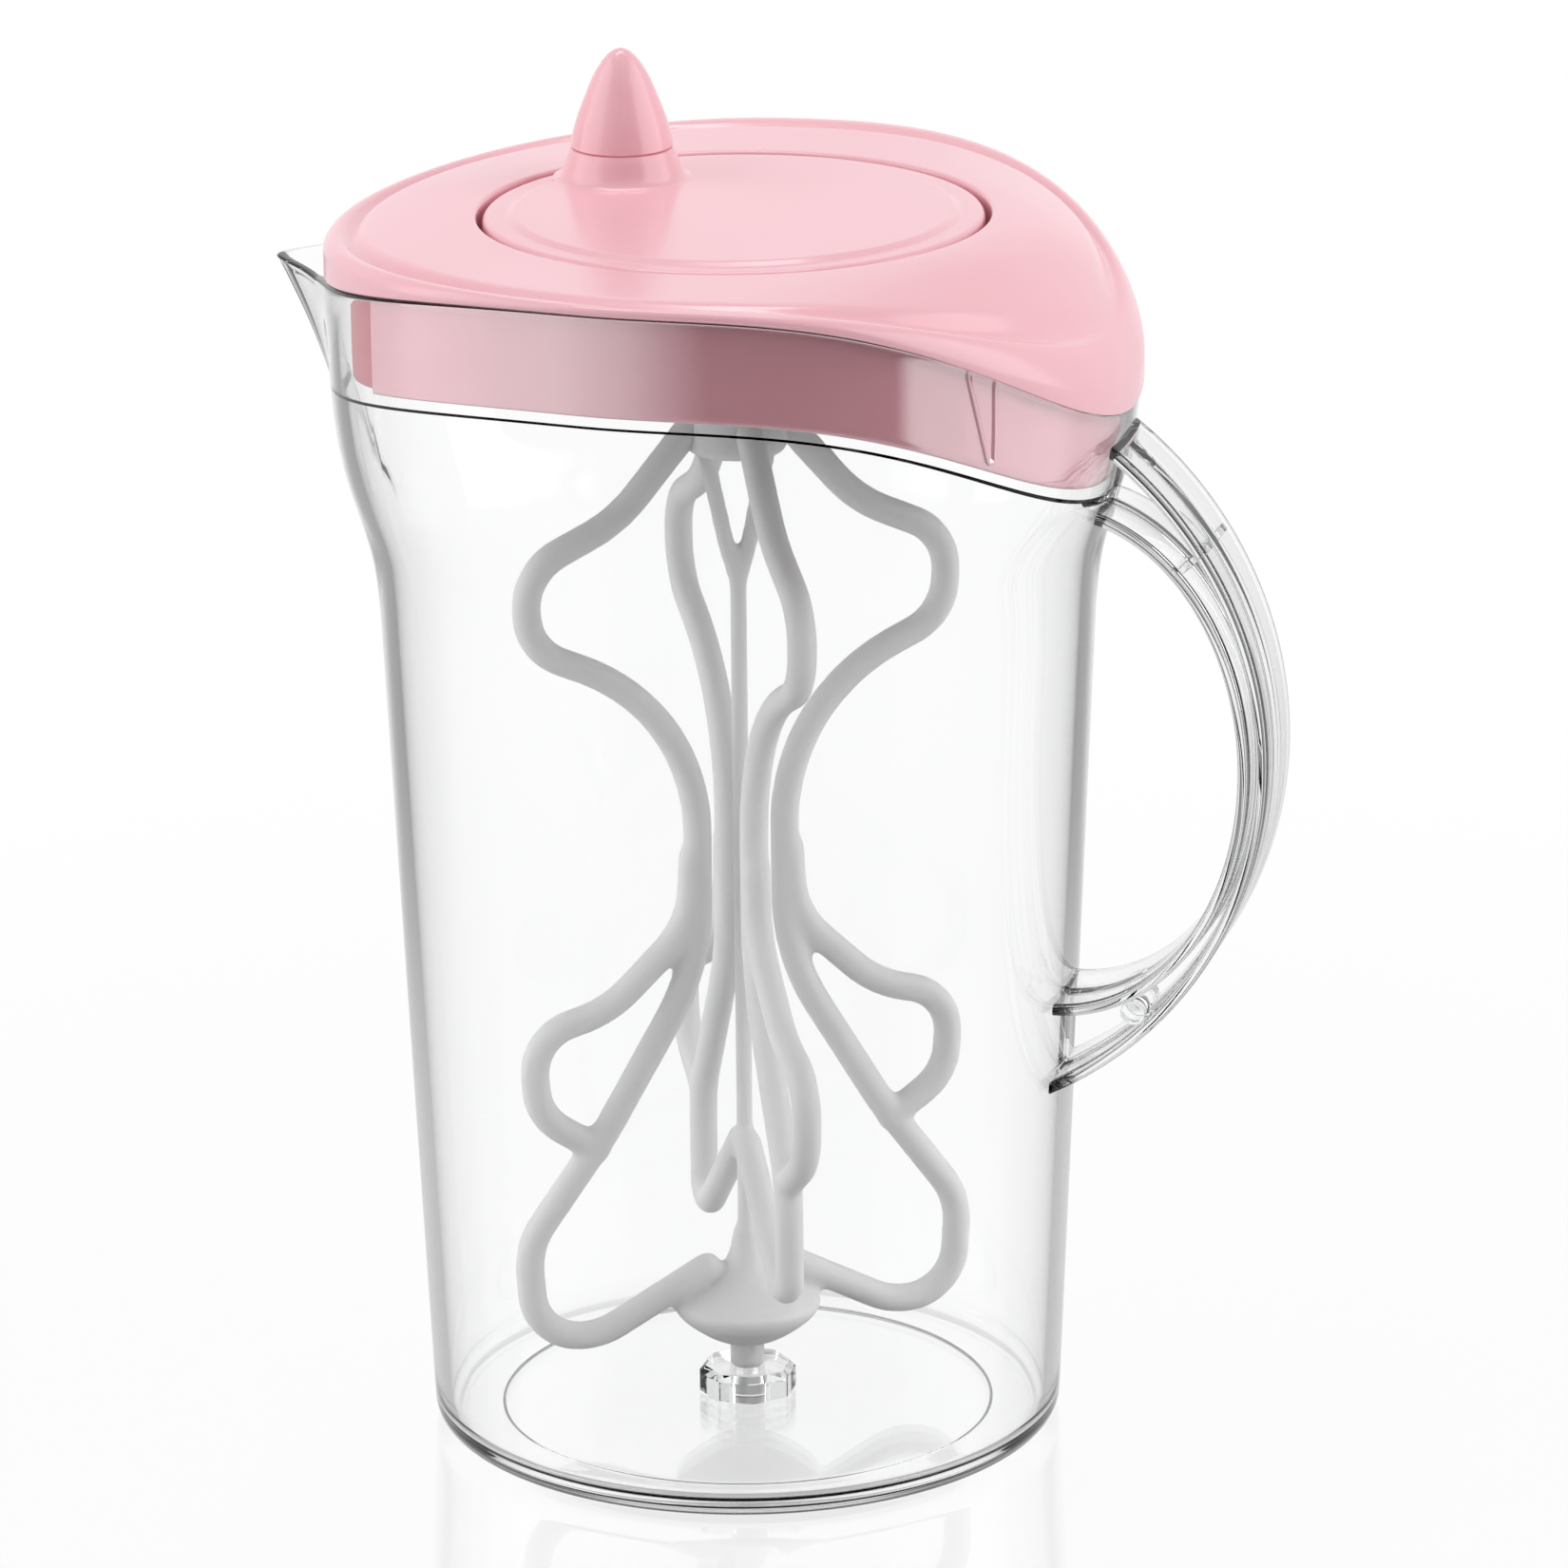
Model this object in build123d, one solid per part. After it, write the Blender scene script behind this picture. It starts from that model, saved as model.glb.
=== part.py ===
from build123d import *
import math
import os

# Mixing pitcher: a clear jug with a pour spout and a side handle, a lid that follows the
# sloping rim, a crank disc let into the lid, and a four-bladed stirrer that stands on a pin
# in the floor and is turned by the crank. The origin is on the jug's axis at the base,
# +X points to the handle, the spout is on the -X side and +Z is up. Millimetres.

# Jug wall, from the foot up to the collar that holds the lid
foot_radius = 53.2
foot_round = 3.6
shoulder_radius = 59.3
shoulder_height = 140.0
flare_step = 1.8
flare_rise = 15.0
flare_height = shoulder_height + flare_rise
collar_radius = 66.9
throat_step = 2.5
throat_rise = 11.0
throat_height = flare_height + throat_rise
collar_rise = 26.0
collar_height = throat_height + collar_rise
collar_start = 8.0
wall = 2.6
collar_wall = 1.7
floor_thickness = 3.0
floor_round = 2.5
base_ring_width = 11.5
base_recess = 0.9

# Wave that the rim, the ledge and the lid follow, as seen from the side
lid_overhang = 0.4
lid_radius = collar_radius + lid_overhang
crest_x = -8.0
crest_height = 208.0
stock_spare = 7.0
stock_height = crest_height + stock_spare
handle_fall = 28.0
handle_power = 3.5
spout_fall = 9.5
spout_power = 2.1
wave_stations = 19

# Spout, as three outlines pulled out of the collar: drop below the crest, half width, and
# reach beyond the collar
spout_root_drop = 51.0
spout_root_half = 7.0
spout_root_reach = -4.5
spout_mid_drop = 25.0
spout_mid_half = 20.0
spout_mid_reach = 5.7
spout_top_drop = 4.0
spout_top_half = 29.0
spout_top_reach = 16.5
spout_depth = 12.9
spout_nose = 3.5

# Handle: an outer strap on a circle, an inner strap on an ellipse and a web between them
handle_half_width = 10.0
strap = 1.9
handle_drop = 57.0
outer_centre_x = 25.0
outer_centre_z = crest_height - handle_fall - handle_drop
outer_radius = 66.6
strap_gap = 1.1
inner_drop = 1.5
inner_half_depth = 30.5
inner_half_height = 42.0
inner_centre_x = outer_centre_x + outer_radius - 2 * strap - strap_gap - inner_half_depth
inner_centre_z = outer_centre_z - inner_drop
web_thickness = 3.0
rib_thickness = 1.3
rib_tilt = 44.0
rib_place = 32.6
rib_depth = 2.3
rib_inset = 0.8
peg_radius = 2.1
peg_length = 13.0
peg_place = -46.0
peg_depth = 3.9

# Lid cover, skirt, pour guard and catch
seat_gap = 0.3
cover_wall = 2.2
brim_width = 6.4
brim_edge = 1.6
handle_brim = 6.0
handle_brim_power = 4.0
spout_brim = 6.0
spout_brim_power = 2.0
dome_power = 2.2
surface_spare = 4.7
surface_steps = 24
skirt_fit = 0.65
skirt_wall = 1.8
skirt_depth = 17.0
ledge_drop = 1.5
guard_half_angle = 42.0
guard_setback = 1.5
catch_angle = -38.0
catch_left = 3.9
catch_right = 3.1
catch_point = 1.0
catch_margin = 2.5
catch_length = skirt_depth - catch_margin
catch_proud = 0.35

# Crank disc, its well in the lid, the knob and the drive
disc_radius = 41.2
disc_rise = 1.4
disc_top = crest_height + disc_rise
disc_thickness = 4.4
disc_gap = 1.0
seat_radius = disc_radius + disc_gap
disc_edge_round = 1.2
plateau_step = 4.4
plateau_rise = 0.6
plateau_round = 0.5
well_wall = 1.6
well_gap = 2.4
well_floor_top = disc_top - disc_thickness - well_gap
well_floor = 1.8
well_low = well_floor_top - well_floor
spindle_radius = 5.0
running_fit = 0.08
bearing_wall = 3.5
bearing_play = 0.3
clip_width = 2.8
clip_thickness = 1.6
clip_slot = 3.0
drive_margin = 0.05
drive_square = (spindle_radius - drive_margin) * math.sqrt(2)
drive_fit = 0.25
drive_length = 9.0
pedestal_radius = 11.6
pedestal_height = 5.0
knob_margin = 0.1
knob_orbit = disc_radius - knob_margin - pedestal_radius
knob_angle = 144.0
knob_radius = 8.2
knob_height = 16.7
knob_waist = 5.9
knob_waist_drop = 7.6
knob_crown = 2.9
knob_crown_drop = 1.9

# Stirrer: pin, hub, shaft, fork, head and four bent-rod blades
pin_radius = 2.3
pin_bottom_gap = 0.3
pin_shoulder_radius = 2.9
pin_shoulder_gap = 0.4
socket_flats = 15.6
socket_height = 4.6
socket_top = floor_thickness + socket_height
socket_bevel = 1.0
hub_gap = 4.6
hub_bottom = socket_top + hub_gap
hub_foot_radius = 3.6
hub_radius = 12.7
hub_bowl_height = 6.6
bowl_middle_out = 0.72
bowl_middle_up = 0.42
hub_rim = 1.5
hub_height = 12.6
hub_neck_radius = 4.2
hub_sleeve_wall = 0.8
hub_sleeve_height = 7.5
shaft_radius = 1.45
spindle_reach = 17.8
head_top = well_low - spindle_reach
head_radius = 8.4
head_height = 14.0
head_bottom = head_top - head_height
head_round = 1.6
fork_length = 22.5
fork_start = 6.0
fork_spread = 5.6
fork_bend = 18.0
rod_radius = 2.15
blade_turn = 31.5
blade_clearance = 12.5
blade_rise = 6.5

# Centre line of a blade's rods: radius, height above the hub's foot, and corner radius
blade_upper = [
    (6.5, 164.3, 0),
    (21.0, 147.4, 24.0),
    (37.4, 140.0, 9.5),
    (36.2, 126.6, 9.5),
    (7.6, 113.8, 34.0),
    (7.8, 68.5, 40.0),
]
blade_long_end = [
    (24.6, 40.3, 45.0),
    (38.6, 21.3, 13.0),
    (37.6, 3.4, 9.0),
    (25.5, 4.0, 12.0),
    (7.0, 13.8, 0),
]
blade_short_end = [(26.0, 36.8, 20.0), (26.0, 13.3, 3.0), (1.6, 36.0, 0)]
blade_loop = [
    (8.6, 87.8, 0),
    (9.2, 75.8, 16.0),
    (24.0, 61.6, 20.0),
    (37.3, 58.8, 8.5),
    (36.4, 44.3, 10.0),
    (26.3, 37.4, 0),
]

os.makedirs("parts", exist_ok=True)
made = {}


def keep(name, shape):
    """store a node under its own name"""
    shape.label = name
    made[name] = shape


def band_share(x):
    """0 at the crest of the wave, 1 at the lid's edge, on either side of the crest"""
    if x > crest_x:
        return min((x - crest_x) / (lid_radius - crest_x), 1.0)
    return min((crest_x - x) / (lid_radius + crest_x), 1.0)


def wave(x):
    """height of the wave over a point x on the side view"""
    if x > crest_x:
        return crest_height - handle_fall * band_share(x) ** handle_power
    return crest_height - spout_fall * band_share(x) ** spout_power


def brim_top(x):
    """height of the lid's outer edge over a point x, thicker towards both ends"""
    if x > crest_x:
        return wave(x) + brim_edge + handle_brim * band_share(x) ** handle_brim_power
    return wave(x) + brim_edge + spout_brim * band_share(x) ** spout_brim_power


def below_wave(offset, bottom=0.0):
    """everything under the wave line moved by an offset, as a long prism along Y"""
    reach = collar_radius + spout_top_reach + outer_radius
    step = 2 * lid_radius / (wave_stations - 1)
    xs = [-lid_radius + step * i for i in range(wave_stations)]
    crest_line = Spline(*[(x, wave(x) + offset) for x in xs])
    left = wave(-lid_radius) + offset
    right = wave(lid_radius) + offset
    frame = Polyline((lid_radius, right), (reach, right), (reach, bottom),
                     (-reach, bottom), (-reach, left), (-lid_radius, left))
    outline = make_face(Plane.XZ * Curve([crest_line, frame]))
    return extrude(outline, amount=reach, both=True)


def side_radius(z):
    """outer radius of the straight wall at a height below the shoulder"""
    return foot_radius + (shoulder_radius - foot_radius) * z / shoulder_height


def wall_solid(inset, low, corner=0.0):
    """body of revolution inside the jug's outer surface, inset by a wall, from a height up"""
    start = (side_radius(low) - inset, low)
    shoulder = (shoulder_radius - inset, shoulder_height)
    run = Line(start, shoulder)
    flare = Spline(
        shoulder,
        (shoulder_radius + flare_step - inset, flare_height),
        (collar_radius - throat_step - inset, throat_height),
        (collar_radius - inset, collar_height),
        tangents=[run % 1, (0, 1)],
    )
    cap = Polyline((collar_radius - inset, collar_height), (collar_radius - inset, stock_height),
                   (0, stock_height), (0, low), start)
    outline = make_face(Plane.XZ * Curve([run, flare, cap]))
    solid = revolve(outline, Axis.Z)
    if corner > 0:
        solid = fillet(solid.edges().filter_by(GeomType.CIRCLE).sort_by(Axis.Z)[0], corner)
    return solid


def collar_solid(inset):
    """the part of that body from just under the shoulder up"""
    return wall_solid(inset, shoulder_height - collar_start)


def spout_solid(inset):
    """loft through the three spout outlines, each inset by a wall"""
    stations = [
        (spout_root_drop, spout_root_half, spout_root_reach),
        (spout_mid_drop, spout_mid_half, spout_mid_reach),
        (spout_top_drop, spout_top_half, spout_top_reach),
    ]
    back = -collar_radius + spout_depth
    outlines = []
    for drop, half, reach in stations:
        share = half / spout_top_half
        side_angle = math.atan2(half, collar_radius + reach + back)
        tip = -collar_radius - reach + inset / math.sin(side_angle)
        corners = [(back, -half + inset), (back, half - inset), (tip, 0)]
        flat = make_face(Polyline(*corners, close=True))
        nose = flat.vertices().sort_by(Axis.X)[0]
        outlines.append(Pos(0, 0, crest_height - drop) * fillet(nose, spout_nose * share))
    return loft(outlines)


def jug_outside():
    """outer surface of the whole jug as one solid, higher than the rim"""
    return wall_solid(0, 0, foot_round) + spout_solid(0)


def make_jug():
    """clear vessel: wall, collar, ledge, spout, floor and the recess under the base"""
    ledge = below_wave(-skirt_depth - ledge_drop)
    bore = collar_solid(collar_wall) - ledge
    inside = wall_solid(wall, floor_thickness, floor_round) + bore
    shell = jug_outside() - inside - spout_solid(collar_wall)
    shell = shell & below_wave(-seat_gap)
    shell -= Pos(0, 0, base_recess / 2) * Cylinder(foot_radius - base_ring_width, base_recess)
    keep("jug_shell", shell)


def make_socket():
    """eight-sided clear bearing on the floor that the stirrer's pin turns in"""
    flat = RegularPolygon(socket_flats / 2, 8, major_radius=False)
    block = extrude(flat, socket_height)
    block = chamfer(block.faces().sort_by(Axis.Z)[-1].edges(), socket_bevel)
    bore = Cylinder(pin_radius + running_fit, 3 * socket_height)
    keep("pin_socket", Pos(0, 0, floor_thickness) * (block - bore))


def circle_plate(radius, half_width):
    """round plate in the side view, on the outer strap's centre"""
    plate = Cylinder(radius, 2 * half_width, rotation=(90, 0, 0))
    return Pos(outer_centre_x, 0, outer_centre_z) * plate


def ellipse_plate(growth, half_width):
    """elliptic plate in the side view, on the inner strap's centre"""
    flat = Plane.XZ * Ellipse(inner_half_depth + growth, inner_half_height + growth)
    return Pos(inner_centre_x, 0, inner_centre_z) * extrude(flat, half_width, both=True)


def behind_outer(depth, place):
    """point at a depth inside the outer strap's circle, at an angle above the level"""
    return (outer_centre_x + (outer_radius - depth) * math.cos(math.radians(place)), 0,
            outer_centre_z + (outer_radius - depth) * math.sin(math.radians(place)))


def handle_field(half_width):
    """everything on the handle's side of the jug wall, inside the outer strap"""
    return circle_plate(outer_radius - strap, half_width) - ellipse_plate(strap, half_width)


def largest(shape):
    """the biggest solid of a cut"""
    return shape.solids().sort_by(SortBy.VOLUME)[-1]


def make_handle():
    """two curved straps, the web between them, two cross ribs and the round pegs"""
    jug = wall_solid(0, 0)
    side = Pos(outer_radius + inner_centre_x, 0, outer_centre_z) * Box(
        2 * outer_radius, 2 * collar_radius, 3 * outer_radius)
    outer = circle_plate(outer_radius, handle_half_width)
    outer -= circle_plate(outer_radius - strap, 2 * handle_half_width)
    keep("handle_outer_strap", largest((outer - jug) & side))
    inner = ellipse_plate(strap, handle_half_width) - ellipse_plate(0, 2 * handle_half_width)
    keep("handle_inner_strap", largest((inner - jug) & side))
    web = handle_field(web_thickness / 2) - jug
    keep("handle_web", largest(web & side))
    field = (handle_field(handle_half_width - rib_inset) - jug) & side
    bar = Box(outer_radius / 2, 2 * handle_half_width, rib_thickness)
    bar = Pos(*behind_outer(rib_depth, rib_place)) * Rot(0, -rib_tilt, 0) * bar
    gap = Box(4 * outer_radius, web_thickness, 4 * stock_height)
    keep("handle_ribs", Compound(children=((field & bar) - gap).solids()))
    peg = Pos(*behind_outer(peg_depth, peg_place)) * Cylinder(
        peg_radius, peg_length, rotation=(90, 0, 0))
    peg = peg - gap - made["handle_outer_strap"]
    keep("handle_pegs", Compound(children=peg.solids()))


def lid_height(x, y):
    """height of the lid's upper surface: flat by the disc, falling to the brim's wave"""
    radius = math.hypot(x, y)
    if radius <= seat_radius:
        return disc_top
    edge_x = lid_radius * x / radius
    share = (radius - seat_radius) / (lid_radius - seat_radius)
    return disc_top - (disc_top - brim_top(edge_x)) * share ** dome_power


def below_lid(drop):
    """everything under the lid's upper surface moved down by a wall"""
    reach = lid_radius + surface_spare
    line = [-reach + 2 * reach * i / surface_steps for i in range(surface_steps + 1)]
    grid = [[(x, y, lid_height(x, y) - drop) for x in line] for y in line]
    surface = Face.make_surface_from_array_of_points(grid, tol=0.02)
    return Solid.extrude(surface, (0, 0, -stock_height))


def column(radius, low=shoulder_height, high=stock_height):
    """round column between two heights"""
    return Pos(0, 0, (low + high) / 2) * Cylinder(radius, high - low)


def skirt_ring(gap, upper):
    """ring that hangs from the cover into the collar, with a gap to the collar's bore"""
    ring = collar_solid(collar_wall + gap) - collar_solid(collar_wall + gap + skirt_wall)
    return (ring & upper) - below_wave(-skirt_depth) - made["lid_cover"]


def make_lid():
    """cover with its brim, the skirt that enters the jug, the pour guard and the catch"""
    upper = below_lid(0)
    brim_inner = collar_radius - brim_width
    brim = (column(lid_radius) - column(brim_inner)) - below_wave(0)
    dome = column(brim_inner) - column(seat_radius) - below_lid(cover_wall)
    keep("lid_cover", (brim & upper) + (dome & upper))

    reach = 2 * lid_radius
    spread = reach * math.tan(math.radians(guard_half_angle))
    wedge = extrude(make_face(Polyline((0, 0), (-reach, spread), (-reach, -spread), close=True)),
                    stock_height)
    skirt = largest(skirt_ring(skirt_fit, upper) - wedge)
    keep("lid_skirt", skirt)
    guard = skirt_ring(skirt_fit + guard_setback, upper) & wedge
    keep("pour_guard", largest(guard - skirt))

    top = wave(lid_radius * math.cos(math.radians(catch_angle))) - seat_gap
    outline = make_face(Plane.YZ * Polyline(
        (-catch_left, top), (catch_right, top), (catch_right, top - catch_length),
        (catch_right - 2 * catch_point, top - catch_length), close=True))
    band = collar_solid(collar_wall + skirt_fit - catch_proud)
    band -= collar_solid(collar_wall + skirt_fit)
    tongue = Rot(0, 0, catch_angle) * extrude(outline, lid_radius, dir=(1, 0, 0))
    keep("lid_catch", largest(tongue & band & below_wave(-seat_gap)))


def make_well():
    """cup under the cover that the crank disc lies in, with the spindle's bearing collar"""
    cup = column(seat_radius + well_wall, well_low, disc_top)
    cup -= column(seat_radius, well_floor_top, disc_top)
    cup = (cup & below_lid(cover_wall)) - made["lid_cover"]
    bearing_top = disc_top - disc_thickness - bearing_play
    cup += column(spindle_radius + running_fit + bearing_wall, well_low, bearing_top)
    cup -= column(spindle_radius + running_fit, well_low, bearing_top)
    keep("crank_well", largest(cup))


def make_crank():
    """disc with a raised middle, knob on a pedestal, spindle with a square end and its clip"""
    bottom = disc_top - disc_thickness
    disc = column(disc_radius, bottom, disc_top)
    disc = fillet(disc.edges().filter_by(GeomType.CIRCLE).sort_by(Axis.Z)[-1], disc_edge_round)
    middle = column(disc_radius - plateau_step, bottom, disc_top + plateau_rise)
    middle = fillet(middle.edges().filter_by(GeomType.CIRCLE).sort_by(Axis.Z)[-1], plateau_round)
    keep("crank_disc", disc + middle)

    face = disc_top + plateau_rise
    knob_base = face + pedestal_height
    place = Rot(0, 0, knob_angle) * Pos(knob_orbit, 0, 0)
    flank = Spline((pedestal_radius, face), (knob_radius, knob_base),
                   tangents=[(-1, 0.05), (-0.25, 1)])
    rest = Polyline((knob_radius, knob_base), (0, knob_base), (0, bottom),
                    (pedestal_radius, bottom), (pedestal_radius, face))
    pedestal = place * revolve(make_face(Plane.XZ * Curve([flank, rest])), Axis.Z)
    keep("knob_pedestal", largest(pedestal - made["crank_disc"]))
    top = knob_base + knob_height
    side = Spline((knob_radius, knob_base), (knob_waist, top - knob_waist_drop),
                  (knob_crown, top - knob_crown_drop), (0, top), tangents=[(-0.1, 1), (-1, 0)])
    core = Polyline((0, top), (0, knob_base), (knob_radius, knob_base))
    knob = revolve(make_face(Plane.XZ * Curve([side, core])), Axis.Z)
    keep("crank_knob", largest(place * knob))

    spindle = column(spindle_radius, head_top, bottom)
    tongue = Box(drive_square, drive_square, drive_length)
    spindle += Pos(0, 0, head_top - drive_length / 2) * Rot(0, 0, blade_turn) * tongue
    keep("drive_spindle", spindle)
    clip_top = well_low - bearing_play
    clip_radius = spindle_radius + clip_width
    clip = column(clip_radius, clip_top - clip_thickness, clip_top)
    clip -= column(spindle_radius, clip_top - clip_thickness, clip_top)
    clip -= Pos(clip_radius, 0, clip_top) * Box(2 * clip_radius, clip_slot, 4 * clip_thickness)
    keep("retaining_clip", largest(clip))


def rod(corners):
    """round rod along straight runs joined by arcs, stretched to the jug and the lid"""
    drawn_reach = max(radius for radius, height, corner in blade_long_end)
    out = (foot_radius - wall - blade_clearance) / drawn_reach
    up = (head_bottom + blade_rise - hub_bottom) / blade_upper[0][1]
    points = [(out * radius, 0, hub_bottom + up * height) for radius, height, corner in corners]
    bends = [min(out, up) * corner for radius, height, corner in corners[1:-1]]
    path = FilletPolyline(*points, radius=bends)
    return sweep(Plane(origin=path @ 0, z_dir=path % 0) * Circle(rod_radius), path=path)


def make_hub():
    """the pin, and the bowl above it that carries the shaft and the two long blades"""
    pin_low = floor_thickness + pin_bottom_gap
    pin = column(pin_radius, pin_low, hub_bottom)
    pin += column(pin_shoulder_radius, socket_top + pin_shoulder_gap, hub_bottom)
    keep("pivot_pin", pin)
    rim = hub_bottom + hub_bowl_height
    top = hub_bottom + hub_height
    sleeve_radius = shaft_radius + hub_sleeve_wall
    bowl = ThreePointArc((hub_foot_radius, hub_bottom),
                         (bowl_middle_out * hub_radius,
                          hub_bottom + bowl_middle_up * hub_bowl_height),
                         (hub_radius, rim))
    outline = Polyline((hub_radius, rim), (hub_radius, rim + hub_rim), (hub_neck_radius, top),
                       (sleeve_radius, top), (sleeve_radius, top + hub_sleeve_height),
                       (0, top + hub_sleeve_height), (0, hub_bottom), (hub_foot_radius, hub_bottom))
    keep("stirrer_hub", revolve(make_face(Plane.XZ * Curve([bowl, outline])), Axis.Z))


def make_head():
    """round head with a square socket, the centre shaft and the fork between them"""
    head = column(head_radius, head_bottom, head_top)
    head = fillet(head.edges().filter_by(GeomType.CIRCLE).sort_by(Axis.Z)[0], head_round)
    depth = drive_length + drive_fit
    socket = Box(drive_square + 2 * drive_fit, drive_square + 2 * drive_fit, depth)
    head -= Pos(0, 0, head_top - depth / 2) * Rot(0, 0, blade_turn) * socket
    keep("drive_head", head)
    fork_low = head_bottom - fork_length
    keep("centre_shaft", column(shaft_radius, hub_bottom + hub_height + hub_sleeve_height, fork_low))
    arms = []
    for side in (-1, 1):
        path = FilletPolyline((0, 0, fork_low), (side * fork_spread / 3, 0, fork_low + fork_start),
                              (side * fork_spread, 0, head_bottom), radius=fork_bend)
        arms.append(sweep(Plane(origin=path @ 0, z_dir=path % 0) * Circle(shaft_radius), path=path))
    fork = (arms[0] + arms[1]) - made["centre_shaft"] - head
    keep("shaft_fork", largest(Rot(0, 0, blade_turn) * fork))


def make_blades():
    """two long blades that end in the hub and two short ones that end on the shaft"""
    loop = rod(blade_loop)
    core = made["drive_head"] + made["stirrer_hub"] + made["centre_shaft"]
    long_blade = largest(rod(blade_upper + blade_long_end) + loop - core)
    short_blade = largest(rod(blade_upper + blade_short_end) + loop - core)
    blades = {
        "blade_handle_side": long_blade,
        "blade_back": short_blade,
        "blade_spout_side": long_blade,
        "blade_front": short_blade,
    }
    for index, (name, blade) in enumerate(blades.items()):
        keep(name, Rot(0, 0, blade_turn + index * 360 / len(blades)) * blade)


make_jug()
make_socket()
make_handle()
make_lid()
make_well()
make_crank()
make_hub()
make_head()
make_blades()
for name, shape in made.items():
    export_step(shape, "parts/" + name + ".step")
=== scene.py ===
import math

import bmesh
import bpy
import numpy as np
from mathutils import Matrix


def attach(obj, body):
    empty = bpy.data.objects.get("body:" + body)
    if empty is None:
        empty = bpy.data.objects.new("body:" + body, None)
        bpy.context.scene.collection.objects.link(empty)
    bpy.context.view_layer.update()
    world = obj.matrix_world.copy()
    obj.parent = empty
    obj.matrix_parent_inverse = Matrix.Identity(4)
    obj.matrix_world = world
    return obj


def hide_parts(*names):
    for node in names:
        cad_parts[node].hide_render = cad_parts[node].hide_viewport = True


# Looks of the mixing pitcher: clear jug, pink lid with its crank, and the frosted stirrer.
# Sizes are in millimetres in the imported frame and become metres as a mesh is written.
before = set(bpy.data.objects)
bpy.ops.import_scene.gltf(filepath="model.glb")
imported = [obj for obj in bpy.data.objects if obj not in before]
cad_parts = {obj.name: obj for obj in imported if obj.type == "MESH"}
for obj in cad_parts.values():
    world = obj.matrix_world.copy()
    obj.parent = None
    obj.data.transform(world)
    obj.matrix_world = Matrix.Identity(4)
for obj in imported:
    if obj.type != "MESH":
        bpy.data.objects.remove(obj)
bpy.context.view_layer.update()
MM = 0.001

# Jug wall
foot_radius = 53.2
foot_round = 3.6
shoulder_radius = 59.3
shoulder_height = 140.0
flare_radius = 61.1
flare_height = 155.0
throat_radius = 64.4
throat_height = 166.0
collar_radius = 66.9
collar_height = 192.0
wall = 2.6
collar_wall = 1.7
floor_thickness = 3.0
floor_round = 2.5
recess_radius = 41.7
base_recess = 0.9
edge_round = 0.3
rim_round = 0.55
flat_margin = 1.2

# Wave of the rim, the ledge and the lid
lid_radius = 67.3
crest_x = -8.0
crest_height = 208.0
handle_fall = 28.0
handle_power = 3.5
spout_fall = 9.5
spout_power = 2.1
seat_gap = 0.3
ledge_depth = 18.5

# Spout outlines: drop below the crest, half width, reach beyond the collar
spout_drops = (51.0, 25.0, 4.0)
spout_halves = (7.0, 20.0, 29.0)
spout_reaches = (-4.5, 6.5, 17.9)
spout_back = 54.0
spout_nose = 6.5
spout_blend = 8.0
root_blend_width = 7.0
spout_view = math.radians(45.0)
spout_fade_drop = 42.0
spout_fade_length = 14.0
trough_thin = 180.0
trough_thick = 165.0

# Handle
handle_half_width = 10.0
strap = 1.9
outer_centre = (25.0, 123.0)
outer_radius = 66.6
inner_centre = (56.2, 121.5)
inner_half_depth = 30.5
inner_half_height = 42.0
web_thickness = 3.0
strap_round = 0.7
web_fillet = 0.5
root_gap = 0.06
rib_place = math.radians(32.6)
rib_tilt = math.radians(44.0)
rib_thickness = 1.3
rib_inset = 0.8
peg_radius = 2.1
peg_reach = 6.5
peg_place = math.radians(-46.0)
peg_depth = 3.9

# Lid, skirt and guard
brim_edge = 1.6
brim_growth = 6.0
handle_brim_power = 4.0
spout_brim_power = 2.0
brim_inner = 60.5
dome_power = 2.2
cover_wall = 2.2
cover_least = 0.1
groove_depth = 1.5
groove_spread = 1.4
groove_inset = 4.6
handle_groove_inset = 5.4
handle_groove_spread = 1.8
bead_round = 2.0
handle_bead_round = 3.2
groove_share = 0.6
bead_share = 0.62
brim_bottom_round = 0.7
hole_round = 0.7
skirt_radius_gap = 2.35
skirt_wall = 1.8
skirt_depth = 17.0
skirt_round = 0.4
guard_setback = 1.5
guard_half_angle = 42.0
catch_angle = math.radians(-38.0)
catch_left = 3.9
catch_right = 3.1
catch_point = 1.0
catch_point_share = 0.8
catch_length = 14.5
catch_proud = 0.35
catch_rim = 0.6
catch_dish = 0.25
catch_root = 0.6
joint_gap = 0.6

# Crank
disc_radius = 41.2
disc_top = 209.4
disc_thickness = 4.4
seat_radius = 42.2
disc_falls = (0.12, 0.05)
disc_edge_round = 1.15
disc_bottom_round = 0.3
plateau_radius = 36.9
plateau_rise = 0.6
plateau_edge = (-0.9, 0.5)
plateau_rounds = (1.5, 1.1)
pedestal_radius = 11.6
pedestal_height = 5.0
pedestal_sink = 0.5
pedestal_spare = 0.1
seam_inset = 0.35
seam_rise = 0.12
knob_orbit = 29.5
knob_angle = math.radians(144.0)
knob_radius = 8.5
knob_height = 16.7
knob_waist = (5.9, 7.6)
knob_crown = (2.9, 1.9)
knob_foot_round = 0.45
knob_seat = 0.14

# Floor socket
socket_flats = 15.6
socket_height = 4.6
socket_bevel = 1.0
bevel_soft = 0.1
socket_corner = 0.18
socket_corner_angle = 0.34
socket_corner_spread = 0.05
socket_soft = 0.15
socket_bore = 2.38
socket_lead_in = [(0.5, 0), (0.25, 0.08), (0, 0.35)]
contact_gap = 0.03

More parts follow.
